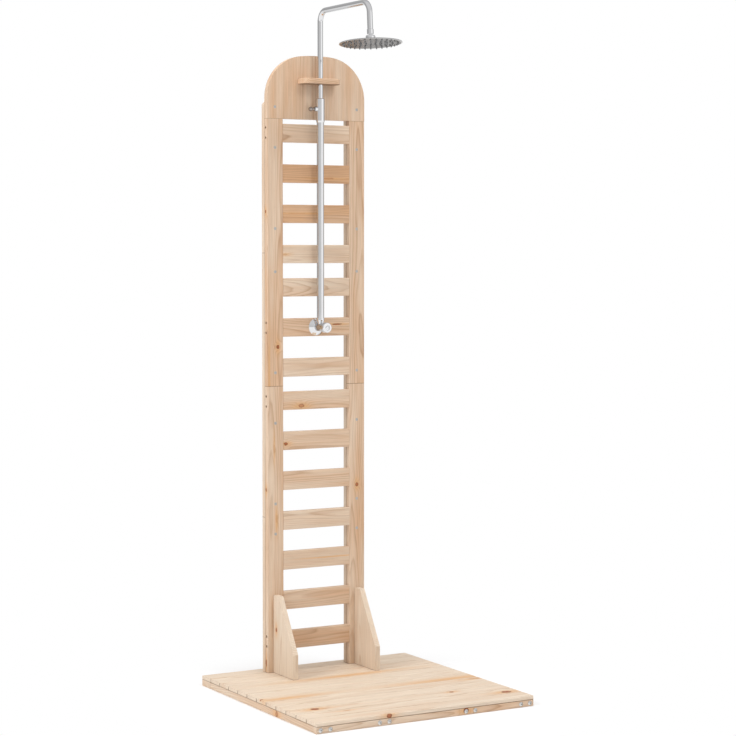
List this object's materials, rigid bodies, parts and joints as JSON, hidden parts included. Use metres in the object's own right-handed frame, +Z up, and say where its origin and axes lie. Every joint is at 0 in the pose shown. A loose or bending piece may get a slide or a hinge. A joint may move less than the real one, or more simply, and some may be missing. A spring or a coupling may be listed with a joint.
{
  "type": "outdoor shower post",
  "caption": "Free-standing outdoor shower: slatted wood platform, ladder back with arched top panel and shelf, telescopic riser with swinging arm, round head and stop valve.",
  "frame": {"origin": "on the floor under the middle of the platform", "axes": "+Z up, -Y the front where a person stands, +X along the slats"},
  "size_m": [0.77, 0.7956, 2.216],
  "materials": {
    "pine": "matte",
    "chrome": "polished",
    "steel_plate": "satin",
    "zinc_steel": "satin",
    "brass": "satin",
    "nylon": "matte",
    "seal_rubber": "matte",
    "nozzle_silicone": "matte"
  },
  "bodies": {
    "frame": {"deck_board_01": "pine", "deck_board_02": "pine", "deck_board_03": "pine", "deck_board_04": "pine", "deck_board_05": "pine", "deck_board_06": "pine", "deck_board_07": "pine", "deck_board_08": "pine", "deck_board_09": "pine", "deck_board_10": "pine", "deck_board_11": "pine", "deck_board_12": "pine", "slat_01": "pine", "slat_02": "pine", "slat_03": "pine", "slat_04": "pine", "slat_05": "pine", "slat_06": "pine", "slat_07": "pine", "slat_08": "pine", "slat_09": "pine", "slat_10": "pine", "slat_11": "pine", "slat_12": "pine", "slat_13": "pine", "slat_14": "pine", "front_rail": "pine", "rear_beam": "pine", "joists": "pine", "front_stiles_lower": "pine", "front_stiles_upper": "pine", "rear_stiles": "pine", "arched_panel": "pine", "pipe_shelf": "pine", "gussets": "pine", "rail_bolts": "zinc_steel", "barrel_nuts": "zinc_steel", "deck_screws": "zinc_steel", "frame_screws": "zinc_steel", "lower_tube": "chrome", "clamp_sleeve": "chrome", "valve_body": "chrome", "valve_rosette": "chrome", "valve_cartridge": "brass", "back_nut": "brass"},
    "guide": {"guide_bush": "nylon", "guide_seals": "seal_rubber"},
    "riser_arm": {"riser_arm": "chrome", "ball_connector": "chrome"},
    "ball_liner": {"ball_liner": "nylon"},
    "ball_seal": {"ball_seal": "seal_rubber"},
    "head": {"swivel_nut": "chrome", "head_shell": "chrome", "spray_plate": "steel_plate", "nozzles": "nozzle_silicone"},
    "tap": {"valve_spindle": "brass", "valve_knob": "chrome", "knob_cap": "chrome"},
    "clamp_pad": {"clamp_pad": "nylon"},
    "clamp_screw": {"clamp_screw": "chrome"}
  },
  "joints": [
    {"name": "riser_slide", "type": "slide", "parent": "frame", "child": "guide", "axis": [0, 0, 1], "range_m": [-0.17, 0.09]},
    {"name": "arm_swing", "type": "hinge", "parent": "guide", "child": "riser_arm", "pos_m": [0, 0.2905, 1.775], "axis": [0, 0, 1], "range_deg": [-90, 90]},
    {"name": "head_tilt_x", "type": "hinge", "parent": "riser_arm", "child": "ball_liner", "pos_m": [0, -0.0415, 2.0905], "axis": [1, 0, 0], "range_deg": [-12, 12]},
    {"name": "head_tilt_y", "type": "hinge", "parent": "ball_liner", "child": "ball_seal", "pos_m": [0, -0.0415, 2.0905], "axis": [0, 0.9976, -0.0698], "range_deg": [-12, 12]},
    {"name": "head_spin", "type": "hinge", "parent": "ball_seal", "child": "head", "pos_m": [0, -0.0415, 2.0905], "axis": [0, 0.0698, 0.9976], "continuous": true},
    {"name": "tap_turn", "type": "hinge", "parent": "frame", "child": "tap", "pos_m": [0, 0.255, 1.1699], "axis": [0, -1, 0], "range_deg": [-90, 0]},
    {"name": "clamp_feed", "type": "slide", "parent": "frame", "child": "clamp_pad", "axis": [-1, 0, 0], "range_m": [0, 0.002]},
    {"name": "clamp_turn", "type": "hinge", "parent": "clamp_pad", "child": "clamp_screw", "pos_m": [-0.03, 0.2905, 1.887], "axis": [-1, 0, 0], "range_deg": [0, 720]}
  ],
  "couplings": [
    {"joint": "clamp_turn", "follows": "clamp_feed", "rad_per_m": 6283.2}
  ]
}
